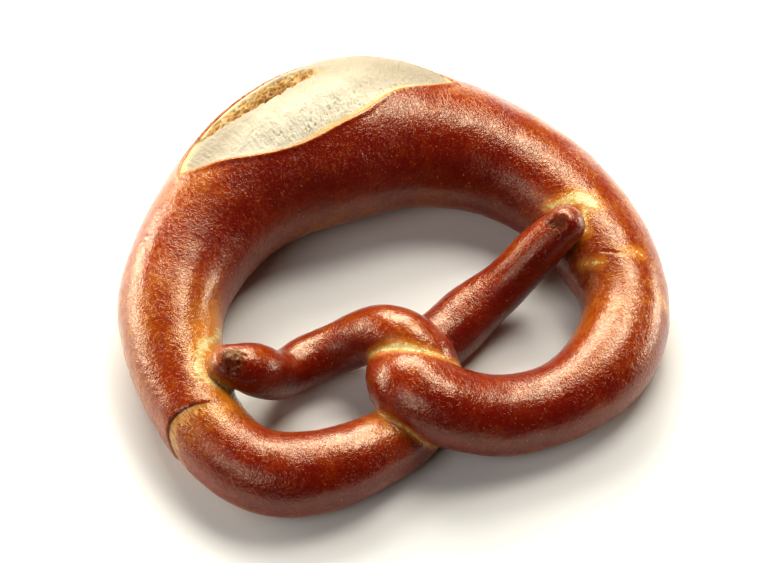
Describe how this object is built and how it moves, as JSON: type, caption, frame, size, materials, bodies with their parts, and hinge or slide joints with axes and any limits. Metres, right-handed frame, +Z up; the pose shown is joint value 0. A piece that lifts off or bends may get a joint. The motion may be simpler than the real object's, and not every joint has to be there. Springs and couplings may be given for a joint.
{
  "type": "soft pretzel",
  "caption": "Soft baked pretzel lying flat: one rope of dough, thick and split open at the belly, twisted once, its thin arms laid over the ring.",
  "frame": {"origin": "under the middle of the pretzel, on the surface it lies on", "axes": "+Z up, +Y from the twist towards the thick split belly, +X towards the side on which the right arm ends"},
  "size_m": [0.1676, 0.148, 0.0462],
  "materials": {
    "crust": "baked dough crust, reddish brown with a satin shine, pale cream crumb where it has split"
  },
  "bodies": {
    "root": {"pretzel": "crust"}
  },
  "joints": []
}
